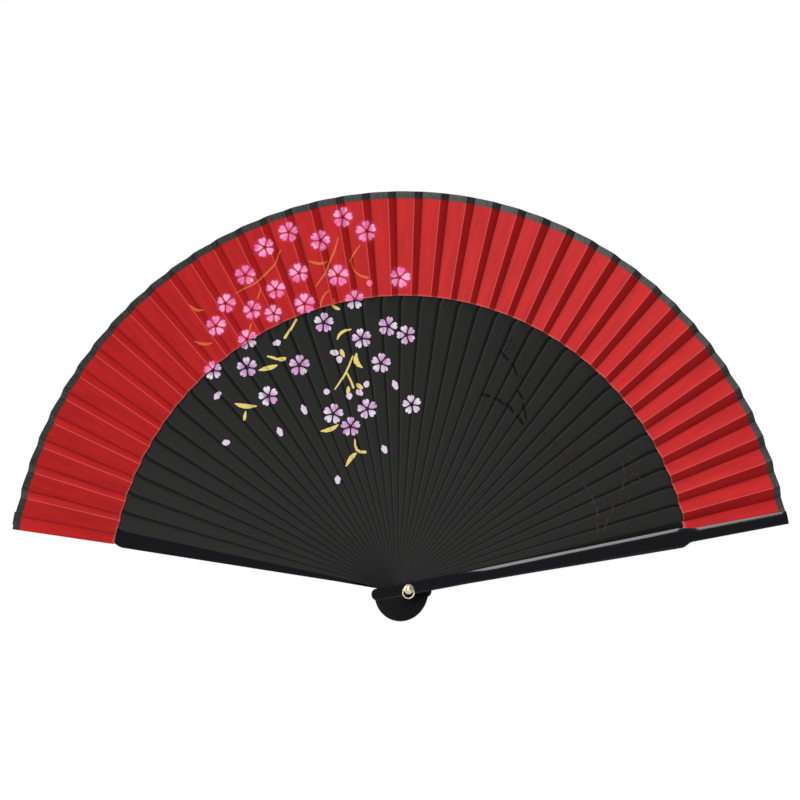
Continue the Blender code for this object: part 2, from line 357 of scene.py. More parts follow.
# A twig pressed into the bare ribs, repeated round the fan: grooves, and rings of small pits
GROOVES = [
    ([(67.6, 103.5), (66.5, 104.3), (65.4, 104.4)], (0.5, 0.55, 0.45)),
    ([(63.9, 104.7), (62.5, 104.7), (61.2, 104.1)], (0.5, 0.55, 0.45)),
    ([(60.4, 105), (59, 104.2), (57.8, 103.3)], (0.5, 0.55, 0.45)),
    ([(55.9, 102.4), (54.7, 101.7), (53.6, 101)], (0.5, 0.55, 0.45)),
    ([(56.5, 108.8), (55, 106.4), (53.6, 104)], (0.4, 0.45, 0.35)),
    ([(67.4, 127), (66.2, 125.7), (65, 124.8)], (0.4, 0.45, 0.35)),
    ([(63.7, 124), (62.6, 121.8), (61.5, 119.7)], (0.4, 0.45, 0.35)),
    ([(59.6, 113.4), (58.4, 112.2), (57.4, 111.2)], (0.4, 0.45, 0.35)),
]
PITTED_FLOWERS = [(66.3, 131.7), (62.8, 128.5), (59.7, 119.4)]
# Each repeat: its turn in degrees, the breadth of its grooves, and half the breadth of its pits
REPEATS = ((0.0, 1.5, 0.38), (-18.9, 0.8, 0.28), (-37.8, 0.8, 0.36))
PITS = 6
PIT_RING = 2.4                  # from a pressed flower's centre to its pits, mm

# %% Turn the lists into points on the open fan, in millimetres
def on_fan(angle, radius):
    return radius * math.cos(math.radians(angle)), radius * math.sin(math.radians(angle))


def stroke_pieces(places, widths, kind, pieces=4):
    """Straight pieces along a smooth curve through three places, each with its widths and kind."""
    start, middle, end = (Vector(on_fan(*place)) for place in places)
    thin, broad, tip = widths
    bend = 2 * middle - (start + end) / 2
    swell = 2 * broad - (thin + tip) / 2
    points = []
    for i in range(pieces + 1):
        t = i / pieces
        point = start * (1 - t) ** 2 + bend * 2 * t * (1 - t) + end * t * t
        wide = thin * (1 - t) ** 2 + swell * 2 * t * (1 - t) + tip * t * t
        points.append((*point, wide))
    return [
        (a[0], a[1], b[0], b[1], a[2], b[2], kind)
        for a, b in zip(points, points[1:])
    ]


GILT, PETAL, GROOVE = 0.0, 1.0, 2.0
strokes = []
for places, widths in TWIGS:
    strokes += stroke_pieces(places, widths, GILT)
for angle, radius, lean, half_length in PETALS:
    x, z = on_fan(angle, radius)
    dx, dz = half_length * math.cos(math.radians(lean)), half_length * math.sin(math.radians(lean))
    strokes += [
        (x - dx, z - dz, x, z, 0.6, 1.5, PETAL), (x, z, x + dx, z + dz, 1.5, 1.1, PETAL),
    ]
for count, (shift, breadth, pit_half) in enumerate(REPEATS):
    for places, widths in GROOVES:
        turned = [(angle + shift, radius) for angle, radius in places]
        wider = [width * breadth for width in widths]
        strokes += stroke_pieces(turned, wider, GROOVE + count, pieces=2)
    for angle, radius in PITTED_FLOWERS:
        x, z = on_fan(angle + shift, radius)
        for pit in range(PITS):
            turn = math.tau * pit / PITS
            px, pz = x + PIT_RING * math.cos(turn), z + PIT_RING * math.sin(turn)
            strokes.append((px, pz, px + 0.3, pz, pit_half, pit_half, GROOVE + count))
strokes = np.array(strokes)
blossoms = np.array([(*on_fan(a, r), math.radians(spin), size) for a, r, spin, size in BLOSSOMS])
print(len(blossoms), "blossoms,", len(strokes), "pieces of stroke")

# %% [markdown]
# The nearest blossom and strokes are kept on the faces, and the places of the points are kept on
# the points, because the silk bends when the fan folds and its painting has to bend with it.

# %% Store the painting and the stick's own directions on a piece
FAR = 9000.0                    # where the painting of a face is put that has none, mm
STICK_APART = 61.0              # keeps the grain of one stick apart from the next one's
PAINTED_LEAN = -0.3             # a face is painted if its normal leans this far to the front


def store(mesh, name, kind, domain, values):
    field = {"FLOAT_COLOR": "color", "FLOAT_VECTOR": "vector", "FLOAT": "value"}[kind]
    attribute = mesh.attributes.new(name, kind, domain)
    attribute.data.foreach_set(field, np.asarray(values, np.float32).ravel())


def read(items, field):
    values = np.empty(len(items) * 3, np.float32)
    items.foreach_get(field, values)
    return values.reshape(-1, 3).astype(float)


def prepare_painting(obj, number):
    mesh = obj.data
    points = read(mesh.vertices, "co") / MM
    store(mesh, "place_mm", "FLOAT_VECTOR", "POINT", points)
    turn = stick_angle(number)
    along = points[:, 0] * math.cos(turn) + points[:, 2] * math.sin(turn)
    across = points[:, 2] * math.cos(turn) - points[:, 0] * math.sin(turn)
    offset = np.full(len(points), number * STICK_APART)
    store(mesh, "stick_mm", "FLOAT_VECTOR", "POINT", np.stack([along, across, offset], 1))

    centres = read(mesh.polygons, "center") / MM
    front = read(mesh.polygons, "normal")[:, 1] < PAINTED_LEAN
    x, z = centres[:, 0], centres[:, 2]
    far = np.hypot(x[:, None] - blossoms[:, 0], z[:, None] - blossoms[:, 1]) / blossoms[:, 3]
    nearest = blossoms[far.argmin(1)]
    nearest[~front] = (FAR, FAR, 0.0, 1.0)
    store(mesh, "bloom", "FLOAT_COLOR", "FACE", nearest)

    start, run = strokes[:, 0:2], strokes[:, 2:4] - strokes[:, 0:2]
    here = np.stack([x, z], 1)[:, None, :] - start
    share = np.clip((here * run).sum(2) / (run * run).sum(1), 0, 1)
    gap = np.linalg.norm(here - share[..., None] * run, axis=2)
    gap -= strokes[:, 4] + share * (strokes[:, 5] - strokes[:, 4])
    order = gap.argsort(1)
    first, second = strokes[order[:, 0]], strokes[order[:, 1]]
    first[~front, 0:4] = FAR
    second[~front, 0:4] = FAR
    store(mesh, "brush_first", "FLOAT_COLOR", "FACE", first[:, 0:4])
    store(mesh, "brush_second", "FLOAT_COLOR", "FACE", second[:, 0:4])
    store(mesh, "brush_widths", "FLOAT_COLOR", "FACE", np.hstack([first[:, 4:6], second[:, 4:6]]))
    kinds = np.stack([first[:, 6], second[:, 6], np.zeros(len(first))], 1)
    store(mesh, "brush_kinds", "FLOAT_VECTOR", "FACE", kinds)


# %% [markdown]
# ## Drawing a blossom with nodes
#
# A cherry petal is an egg with a small notch in its broad end. Five of them stand round a centre.
# The nodes fold the plane into one fifth, so one egg is enough. The sum is worked in units of the
# flower's own radius: `out` runs from the centre along the petal, and `side` across it.

# %% The petals of the nearest blossom, in shares of the flower's radius
PETAL_MIDDLE, PETAL_HALF = 0.60, 0.42
ROOT_HALF, WIDENING = 0.07, 0.43        # half the petal's width, and how it grows outwards
NOTCH_AT, NOTCH_SLOPE = 0.85, 1.7
PETAL_GAP = 0.025                       # kept free on each side between two petals


def blossom_nodes(tree, place):
    """Returns how far a point is inside a petal, along the petal, and from the centre."""
    flower = add(tree, "Attribute", attribute_name="bloom")
    middle = add(tree, "SeparateXYZ", (flower.outputs["Vector"],))
    here = add(tree, "SeparateXYZ", (place,))
    dx = add(tree, "Math", (here.outputs["X"], middle.outputs["X"]), operation="SUBTRACT")
    dz = add(tree, "Math", (here.outputs["Z"], middle.outputs["Y"]), operation="SUBTRACT")
    offset = add(tree, "CombineXYZ", (dx, dz, 0.0))
    distance = add(tree, "VectorMath", (offset,), operation="LENGTH").outputs["Value"]
    radius = add(tree, "Math", (distance, flower.outputs["Alpha"]), operation="DIVIDE")
    turn = add(tree, "Math", (dz, dx), operation="ARCTAN2")
    turn = add(tree, "Math", (turn, middle.outputs["Z"]), operation="SUBTRACT")
    fifth = math.tau / 5
    turn = add(tree, "Math", (turn, fifth / 2, -fifth / 2), operation="WRAP")
    cosine = add(tree, "Math", (turn,), operation="COSINE")
    sine = add(tree, "Math", (turn,), operation="SINE")
    out = add(tree, "Math", (radius, cosine), operation="MULTIPLY")
    side = add(tree, "Math", (radius, sine), operation="MULTIPLY")
    side = add(tree, "Math", (side,), operation="ABSOLUTE")
    half = add(tree, "Math", (out, WIDENING, ROOT_HALF), operation="MULTIPLY_ADD")
    wide = add(tree, "Math", (side, half), operation="DIVIDE")
    wide = add(tree, "Math", (wide, 2.0), operation="POWER")
    long = add(
        tree, "Math", (out, 1 / PETAL_HALF, -PETAL_MIDDLE / PETAL_HALF), operation="MULTIPLY_ADD"
    )
    long = add(tree, "Math", (long, long), operation="MULTIPLY")
    egg = add(tree, "Math", (long, wide), operation="ADD")
    egg = add(tree, "Math", (1.0, egg), operation="SUBTRACT")
    notch = add(tree, "Math", (side, NOTCH_SLOPE, NOTCH_AT), operation="MULTIPLY_ADD")
    notch = add(tree, "Math", (notch, out), operation="SUBTRACT")
    notch = add(tree, "Math", (notch, 5.0), operation="MULTIPLY")
    inside = add(tree, "Math", (egg, notch), operation="MINIMUM")
    between = add(
        tree, "Math", (out, math.tan(fifth / 2), -PETAL_GAP), operation="MULTIPLY_ADD"
    )
    between = add(tree, "Math", (between, side), operation="SUBTRACT")
    between = add(tree, "Math", (between, 4.0), operation="MULTIPLY")
    inside = add(tree, "Math", (inside, between), operation="MINIMUM")
    return inside, out, radius


# %% [markdown]
# ## Drawing a brush stroke with nodes
#
# A stroke is a short straight piece with round ends, so the distance to its middle line says
# whether a point is on it. Gilt, white and pressed strokes share the drawing and differ in kind.

# %% The two nearest strokes
def stroke_nodes(tree, place, soft):
    """Returns the cover of gilt, of white and of grooves, and the tone number of the groove."""
    here = add(tree, "SeparateXYZ", (place,))
    flat = add(tree, "CombineXYZ", (here.outputs["X"], here.outputs["Z"], 0.0))
    widths = add(tree, "Attribute", attribute_name="brush_widths")
    wide = add(tree, "SeparateXYZ", (widths.outputs["Vector"],))
    kinds = add(tree, "Attribute", attribute_name="brush_kinds")
    kind = add(tree, "SeparateXYZ", (kinds.outputs["Vector"],))
    pairs = (
        ("brush_first", wide.outputs["X"], wide.outputs["Y"], kind.outputs["X"]),
        ("brush_second", wide.outputs["Z"], widths.outputs["Alpha"], kind.outputs["Y"]),
    )
    covers = []
    for name, wide_start, wide_end, what in pairs:
        ends = add(tree, "Attribute", attribute_name=name)
        split = add(tree, "SeparateXYZ", (ends.outputs["Vector"],))
        start = add(tree, "CombineXYZ", (split.outputs["X"], split.outputs["Y"], 0.0))
        end = add(tree, "CombineXYZ", (split.outputs["Z"], ends.outputs["Alpha"], 0.0))
        to_here = add(tree, "VectorMath", (flat, start), operation="SUBTRACT")
        run = add(tree, "VectorMath", (end, start), operation="SUBTRACT")
        dot = add(tree, "VectorMath", (to_here, run), operation="DOT_PRODUCT").outputs["Value"]
        length = add(tree, "VectorMath", (run, run), operation="DOT_PRODUCT").outputs["Value"]
        share = add(tree, "Math", (dot, length), operation="DIVIDE", use_clamp=True)
        foot = add(tree, "VectorMath", {0: run, "Scale": share}, operation="SCALE")
        gap = add(tree, "VectorMath", (to_here, foot), operation="DISTANCE").outputs["Value"]
        half = add(tree, "Mix", {0: share, 2: wide_start, 3: wide_end}, data_type="FLOAT")
        inside = add(tree, "Math", (half, gap), operation="SUBTRACT")
        cover = add(
            tree, "MapRange", {0: inside, 1: -soft, 2: soft, 3: 0.0, 4: 1.0},
            interpolation_type="SMOOTHSTEP",
        )
        for low, high in ((-0.5, 0.5), (0.5, 1.5), (1.5, 9.5)):
            above = add(tree, "Math", (what, low), operation="GREATER_THAN")
            below = add(tree, "Math", (what, high), operation="LESS_THAN")
            same = add(tree, "Math", (above, below), operation="MULTIPLY")
            covers.append(add(tree, "Math", (cover, same), operation="MULTIPLY"))
    gilt = add(tree, "Math", (covers[0], covers[3]), operation="MAXIMUM")
    white = add(tree, "Math", (covers[1], covers[4]), operation="MAXIMUM")
    groove = add(tree, "Math", (covers[2], covers[5]), operation="MAXIMUM")
    return gilt, white, groove, kind.outputs["X"]


# %% [markdown]
# ## Bamboo painted matt black
#
# The ribs are split bamboo under a thin charcoal paint. The grain's fibres, about half a millimetre
# apart, run along each rib and telegraph through the paint as faint streaks. A near-black band is
# painted on each rib beside the next rib's edge, as painted shade in the crevice under it. Roughness
# stays high, so the blades give only a dull sheen. The pressed twig is darker and duller still.

# %% The ribs' material
def painted_bamboo():
    made = new_material("painted_bamboo")
    tree = made.node_tree
    place = add(tree, "Attribute", attribute_name="place_mm").outputs["Vector"]
    stick = add(tree, "Attribute", attribute_name="stick_mm").outputs["Vector"]

    fibre_place = add(tree, "VectorMath", (stick, (0.035, 1.9, 1.0)), operation="MULTIPLY")
    fibres = add(
        tree, "TexNoise",
        {"Vector": fibre_place, "Scale": 1.0, "Detail": 5.0, "Roughness": 0.65},
    )
    cloud_place = add(tree, "VectorMath", (stick, (0.03, 0.12, 1.0)), operation="MULTIPLY")
    cloud = add(tree, "TexNoise", {"Vector": cloud_place, "Scale": 1.0, "Detail": 2.0})
    streak = add(tree, "MapRange", {0: fibres, 1: 0.3, 2: 0.7})
    black = add(
        tree, "Mix", {0: streak, 6: colour("101010"), 7: colour("1B1B1A")}, data_type="RGBA"
    )
    patch = add(tree, "MapRange", {0: cloud, 1: 0.35, 2: 0.7, 4: 0.55})
    black = add(
        tree, "Mix", {0: patch, 6: black.outputs[2], 7: colour("181614")}, data_type="RGBA"
    )

    # Painted shade: a near-black band beside the next rib's edge, in the crevice under it
    crevice_shade = add(tree, "Attribute", attribute_name="crevice_shade").outputs["Fac"]
    crevice_shade_mix = add(tree, "MapRange", {0: crevice_shade, 1: 0.008, 2: 0.013, 3: 0.95, 4: 0.0})
    black = add(
        tree, "Mix", {0: crevice_shade_mix, 6: black.outputs[2], 7: colour("020202")}, data_type="RGBA"
    )

    gilt, white, groove, tone = stroke_nodes(tree, place, 0.09)
    lighter = add(tree, "MapRange", {0: tone, 1: 2.6, 2: 4.0})
    pressed = add(
        tree, "Mix", {0: lighter, 6: colour("010101"), 7: colour("35271F")}, data_type="RGBA"
    )
    depth = add(tree, "Math", (groove, 0.85), operation="MULTIPLY")
    body = add(
        tree, "Mix", {0: depth, 6: black.outputs[2], 7: pressed.outputs[2]}, data_type="RGBA"
    )

    inside, out, _ = blossom_nodes(tree, place)
    petal = add(
        tree, "MapRange", {0: inside, 1: 0.0, 2: 0.22}, interpolation_type="SMOOTHSTEP"
    )
    shade = add(tree, "TexNoise", {"Vector": place, "Scale": 0.16, "Detail": 1.0})
    shade = add(tree, "MapRange", {0: shade, 1: 0.38, 2: 0.62})
    white_petal = add(
        tree, "Mix", {0: shade, 6: colour("C2BAC4"), 7: colour("B084AC")}, data_type="RGBA"
    )
    heart = add(tree, "MapRange", {0: out, 1: 0.2, 2: 0.75, 3: 0.6, 4: 0.0})
    tinted = add(
        tree, "Mix", {0: heart, 6: white_petal.outputs[2], 7: colour("8A5C8A")}, data_type="RGBA"
    )
    body = add(tree, "Mix", {0: petal, 6: body.outputs[2], 7: tinted.outputs[2]}, data_type="RGBA")
    body = add(tree, "Mix", {0: white, 6: body.outputs[2], 7: colour("BBA8BC")}, data_type="RGBA")
    body = add(tree, "Mix", {0: gilt, 6: body.outputs[2], 7: colour("BDAC62")}, data_type="RGBA")

    dull = add(tree, "MapRange", {0: fibres, 1: 0.3, 2: 0.7, 3: 0.62, 4: 0.50})
    height = add(tree, "Math", (groove, -3.0, fibres), operation="MULTIPLY_ADD")
    shine = add(tree, "MapRange", {0: groove, 3: 0.2, 4: 0.12})
    bump = add(tree, "Bump", {"Strength": 0.35, "Distance": 0.00004, "Height": height})
    shader = add(tree, "BsdfPrincipled", {
        "Base Color": body.outputs[2], "Roughness": dull, "Normal": bump,
        "Specular IOR Level": shine,
    })
    add(tree, "OutputMaterial", (shader,))
    return made


bamboo = painted_bamboo()
print("bamboo nodes:", len(bamboo.node_tree.nodes))

# %% [markdown]
# ## Building a stick
#
# A stick starts as a flat grid, pulled out to its outline row by row. The grid could be one long
# face, but small faces are wanted, both for the painting and for the slow twist of the blade.
# Extruding the sheet gives it its thickness, and a fine bevel takes the sharpness off its edges.

# %% A bar from a grid, with its edges given by two functions of the distance from the rivet
def bar(stations, shares, low_edge, high_edge, thickness):
    bm = bmesh.new()
    bmesh.ops.create_grid(bm, x_segments=len(stations) - 1, y_segments=len(shares) - 1, size=0.5)
    for vert in bm.verts:
        along = stations[round((vert.co.x + 0.5) * (len(stations) - 1))]
        share = shares[round((vert.co.y + 0.5) * (len(shares) - 1))]
        low, high = low_edge(along), high_edge(along)
        vert.co = (along, -thickness / 2, low + (high - low) * share)
    sheet = bmesh.ops.extrude_face_region(bm, geom=bm.faces[:])
    raised = [item for item in sheet["geom"] if isinstance(item, bmesh.types.BMVert)]
    bmesh.ops.translate(bm, verts=raised, vec=(0.0, thickness, 0.0))
    bmesh.ops.recalc_face_normals(bm, faces=bm.faces)
    return bm


def soften(bm, width, segments):
    sharp = [
        edge for edge in bm.edges
        if len(edge.link_faces) == 2 and edge.calc_face_angle() > math.radians(60)
    ]
    bmesh.ops.bevel(
        bm, geom=sharp, offset=width, segments=segments, profile=0.5, affect="EDGES",
        material=-1, clamp_overlap=True,
    )


def butt_rows(reach, half):
    """Distances of the rows round a stick's round butt."""
    return [half - reach - half * math.cos(math.radians(a)) for a in (14, 28, 42, 56, 70, 90)]


def spaced(start, end, gap):
    count = max(1, round((end - start) / gap))
    return [start + (end - start) * i / count for i in range(1, count + 1)]


def butt_width(along, reach, half):
    """Half the width of a round butt at a distance, or None past it."""
    middle = half - reach
    if along >= middle:
        return None
    return math.sqrt(max(0.0, half * half - (middle - along) ** 2))


def finish_mesh(bm, name, matrix, finish):
    bmesh.ops.transform(bm, matrix=matrix, verts=bm.verts)
    mesh = bpy.data.meshes.new(name)
    bm.to_mesh(mesh)
    bm.free()
    obj = bpy.data.objects.new(name, mesh)
    bpy.context.collection.objects.link(obj)
    mesh.materials.append(finish)
    return obj


# %% [markdown]
# ## The ribs
#
# A rib is a slip of bamboo: a round butt, a blade that widens outwards to a rounded shoulder, and
# a narrow strip that the leaf is glued to. The strip twists, because it lies in the slope of its
# pleat. A modifier could bend it, but moving each point by a formula keeps the mesh as it will be
# used, with nothing live on it.

# %% The outline and the twist of a rib
def rib_half_width(along):
    rounded = butt_width(along, RIB_BUTT, BUTT_HALF)
    if rounded is not None:
        return rounded
    if along <= SHOULDER_START:
        share = max(0.0, (along - NECK_END) / (SHOULDER_START - NECK_END))
        return BUTT_HALF + (RIB_HALF - BUTT_HALF) * share
    share = min(1.0, (along - SHOULDER_START) / SHOULDER_LENGTH)
    return STRIP_HALF + (RIB_HALF - STRIP_HALF) * math.sqrt(max(0.0, 1 - share * share))


def rib_depth(number, along, across):
    tilt = BLADE_TILT * min(1.0, max(0.0, (along - NECK_END) / (SHOULDER_START - NECK_END)))
    turned = ease((along - SHOULDER_START - SHOULDER_LENGTH) / TWIST_LENGTH)
    slope = PLEAT_DEPTH / (2 * glued_half(number))
    return -(1 - turned) * tilt * across - turned * slope * (across + STRIP_HALF)


rib_rows = butt_rows(RIB_BUTT, BUTT_HALF) + spaced(BUTT_HALF - RIB_BUTT, SHOULDER_START, 1.25)
rib_rows += [
    SHOULDER_START + SHOULDER_LENGTH * math.sin(math.radians(a))
    for a in (12, 24, 36, 48, 60, 72, 90)
]
rib_rows += spaced(SHOULDER_START + SHOULDER_LENGTH, STRIP_END, 1.8)
print(len(rib_rows), "rows along a rib")


# %% Forty ribs
RIB_SHARES = [i / 8 for i in range(9)]


def past_the_next(along, across):
    """How far a point is past the left edge of the rib lying over it, in millimetres."""
    edge = rib_half_width(along) * math.cos(STEP) - along * math.sin(STEP)
    return across - edge


def make_rib(number):
    bm = bar(rib_rows, RIB_SHARES, lambda s: -rib_half_width(s), rib_half_width, RIB_THICKNESS)
    soften(bm, 0.09, 2)
    for vert in bm.verts:
        vert.co.y += rib_depth(number, vert.co.x, vert.co.z)
    place = stick_matrix(number, stick_level(number))
    rib = finish_mesh(bm, f"bamboo_rib_{number:02d}", place, bamboo)
    prepare_painting(rib, number)
    stick = read(rib.data.attributes["stick_mm"].data, "vector")
    # How far a point is past the next rib's edge, which places the painted crevice shade
    crevice_shade = [past_the_next(along, across) / max(along, 20.0) for along, across, _ in stick]
    store(rib.data, "crevice_shade", "FLOAT", "POINT", crevice_shade)
    rib.data.shade_smooth()
    rib.data.set_sharp_from_angle(angle=math.radians(40))
    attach(rib, f"rib_{number:02d}")
    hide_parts(f"rib_{number:02d}")
    return rib


ribs = [make_rib(number) for number in range(1, RIBS + 1)]
print("ribs:", len(ribs), "faces each:", len(ribs[0].data.polygons))

# %% [markdown]
# ## High gloss lacquer
#
# The two guards are thicker bars under several coats of black lacquer, rubbed smooth. The eye sees
# hardly any colour, only reflections: a bright band where the upper edge slopes back and mirrors
# the softbox, and a dim wavering one along the flat. So the roughness is very low, with a long
# shallow ripple in the surface, and a fine haze of rubbing marks.

# %% The guards' material
def black_lacquer():
    made = new_material("black_lacquer")
    tree = made.node_tree
    place = add(tree, "Attribute", attribute_name="stick_mm").outputs["Vector"]
    ripple_place = add(tree, "VectorMath", (place, (0.02, 0.10, 1.0)), operation="MULTIPLY")
    ripple = add(tree, "TexNoise", {"Vector": ripple_place, "Scale": 1.0, "Detail": 2.0})
    rub_place = add(tree, "VectorMath", (place, (0.08, 3.0, 1.0)), operation="MULTIPLY")
    rub = add(tree, "TexNoise", {"Vector": rub_place, "Scale": 1.0, "Detail": 4.0})
    black = add(tree, "Mix", {0: rub, 6: colour("040406"), 7: colour("08080D")}, data_type="RGBA")
    haze = add(tree, "MapRange", {0: rub, 1: 0.35, 2: 0.75, 3: 0.10, 4: 0.20})
    height = add(tree, "Math", (rub, 0.06, ripple), operation="MULTIPLY_ADD")
    bump = add(tree, "Bump", {"Strength": 0.25, "Distance": 0.0002, "Height": height})
    shader = add(tree, "BsdfPrincipled", {
        "Base Color": black.outputs[2], "Roughness": haze, "Normal": bump,
        "IOR": 1.5,
    })
    add(tree, "OutputMaterial", (shader,))
    return made


lacquer = black_lacquer()
print("lacquer nodes:", len(lacquer.node_tree.nodes))

# %% [markdown]
# ## The guards
#
# A guard is a stout stick with the same round butt, and a step in where the leaf begins. It could
# be cut from a block, but the same bar as the ribs' serves with other edges. The front guard's
# edge beside the leaf is planed to a slope, which is where the bright line lies. Both guards bow
# outwards a little, to leave room for the folded leaf.

# %% Each side of a guard: half the blade, half the tip, where the step in starts, and its length
LEAF_SIDE = (GUARD_HALF, 3.7, 139.0, 12.0)
OUTER_SIDE = (GUARD_HALF - 0.5, 2.7, 140.5, 6.0)
GUARD_SHARES = [0.0, 0.2, 0.4, 0.52, 0.6, 0.67, 0.74, 0.8, 0.86, 0.91, 0.95, 0.98, 1.0]
GUARD_BUTT_HALF = BUTT_HALF + 0.2
SLOPE_DEPTH, SLOPE_WIDTH = 1.25, 2.6    # how far the planed edge falls back, and its breadth
SLOPE_START, SLOPE_FADE = 5.0, 45.0
BOW_START, BOW_LENGTH = 45.0, 101.0


def guard_edge(along, blade_half, tip_half, step_start, step_length):
    rounded = butt_width(along, GUARD_BUTT, GUARD_BUTT_HALF)
    if rounded is not None:
        return rounded
    share = max(0.0, (along - NECK_END) / (GUARD_SHOULDER - NECK_END))
    half = BUTT_HALF + (blade_half - BUTT_HALF) * min(1.0, share)
    return half + (tip_half - half) * ease((along - step_start) / step_length)


def make_guard(name, node, body, number, level, bow, leaf_side):
    rows = butt_rows(GUARD_BUTT, GUARD_BUTT_HALF)
    rows += spaced(GUARD_BUTT_HALF - GUARD_BUTT, GUARD_SHOULDER, 2.5)
    rows += spaced(GUARD_SHOULDER, GUARD_SHOULDER + 13.0, 0.5)
    rows += spaced(GUARD_SHOULDER + 13.0, GUARD_END, 2.5)
    high, low = (LEAF_SIDE, OUTER_SIDE) if leaf_side > 0 else (OUTER_SIDE, LEAF_SIDE)
    bm = bar(
        rows, GUARD_SHARES, lambda s: -guard_edge(s, *low), lambda s: guard_edge(s, *high),
        GUARD_THICKNESS,
    )
    soften(bm, 0.3, 3)
    for vert in bm.verts:
        along, depth, across = vert.co
        if leaf_side > 0 and depth < 0:
            inward = guard_edge(along, *high) - across
            fade = ease((along - SLOPE_START) / SLOPE_FADE)
            vert.co.y += fade * SLOPE_DEPTH * max(0.0, 1 - inward / SLOPE_WIDTH) ** 1.5
        vert.co.y -= bow * ease((along - BOW_START) / BOW_LENGTH)
    guard = finish_mesh(bm, name, stick_matrix(number, level), lacquer)
    prepare_painting(guard, number)
    guard.data.shade_smooth()
    guard.data.set_sharp_from_angle(angle=math.radians(50))
    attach(guard, body)
    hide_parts(node)
    return guard


leaf_front = leaf_level(LAST) - PLEAT_DEPTH * RIM_OUTER
front_bow = -REAR_FACE - (leaf_front - RIBBON_REACH - LEAF_GAP)
middle = REAR_FACE + GUARD_THICKNESS / 2
front = make_guard(
    "lacquered_front_guard", "front_guard", "front_guard", LAST, -middle, front_bow, 1
)
rear = make_guard("lacquered_rear_guard", "rear_guard", "base", 0, middle, -REAR_BOW, -1)
print("guards:", len(front.data.polygons), "and", len(rear.data.polygons), "faces")

# %% [markdown]
# ## The silk leaf
#
# The leaf is one sheet of thin silk, pressed into sharp pleats. Each pleat has a narrow panel
# glued to a rib, and a free panel that spans to the next. When the fan shuts, the glued panel
# turns with its rib and the free one folds over it. So the sheet is made as one gore for each rib:
# the free panel before it and its glued panel.
#
# Red dye takes a little unevenly along the threads. The glued panels are painted darker as shade,
# more of it towards the front guard. A pale line on each ridge is a painted highlight, and a dark
# line in each valley is painted shade. The cut edge shows a pale line. The blossoms are sprayed,
# so their edges are soft.

# %% The silk's material: dyed red, painted in soft airbrushed pinks
PLEAT_SHADE_FROM, PLEAT_SHADE_TO = 500.0, 1600.0      # from the eighth stick to the twenty-sixth, in STICK_APART


